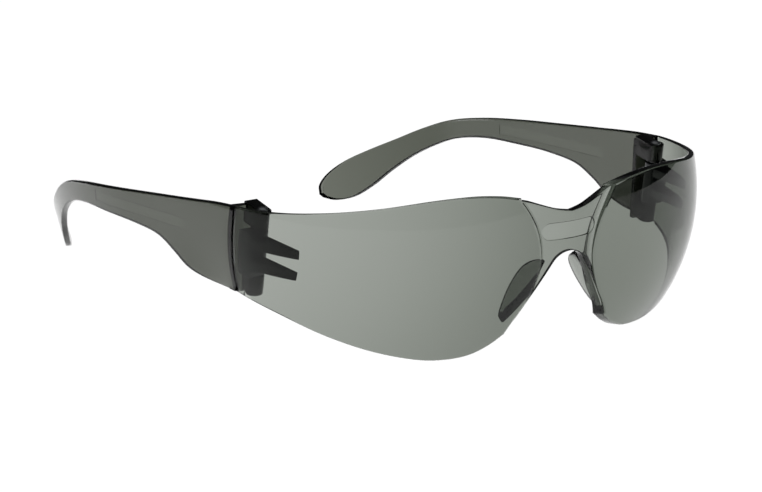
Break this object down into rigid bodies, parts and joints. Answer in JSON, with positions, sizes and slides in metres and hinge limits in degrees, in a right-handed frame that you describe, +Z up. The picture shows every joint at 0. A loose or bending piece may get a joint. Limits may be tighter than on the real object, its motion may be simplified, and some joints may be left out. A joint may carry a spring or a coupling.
{
  "type": "safety glasses",
  "caption": "Wrap-around safety glasses: a one-piece tinted shield with a moulded bridge, nose pads and two curved temples that fold on hinge pins.",
  "frame": {"origin": "middle of the width and of the depth, on the surface that the glasses stand on with the temples open", "axes": "+X to the wearer's left, +Y back along the temples, +Z up; the shield looks along -Y"},
  "size_m": [0.1432, 0.1806, 0.0444],
  "materials": {
    "tinted_shield": "polished smoke-tinted polycarbonate, see-through",
    "nose_pad": "smoke-tinted moulding, glossy",
    "hinge_boss": "dark moulding, glossy",
    "hinge_pin": "drawn steel",
    "temple": "smoke-tinted polycarbonate, satin gloss"
  },
  "bodies": {
    "front": {"lens_shield": "tinted_shield", "nose_pad_left": "nose_pad", "nose_pad_right": "nose_pad", "hinge_boss_left": "hinge_boss", "hinge_boss_right": "hinge_boss"},
    "left_temple": {"temple_left": "temple", "hinge_pin_left": "hinge_pin"},
    "right_temple": {"temple_right": "temple", "hinge_pin_right": "hinge_pin"}
  },
  "joints": [
    {"name": "left_temple_fold", "type": "hinge", "parent": "front", "child": "left_temple", "pos_m": [0.06523, -0.04322, 0.0272], "axis": [0, -0.1635, 0.9865], "range_deg": [0, 88]},
    {"name": "right_temple_fold", "type": "hinge", "parent": "front", "child": "right_temple", "pos_m": [-0.06523, -0.04322, 0.0272], "axis": [0, 0.1635, -0.9865], "range_deg": [0, 80]}
  ]
}
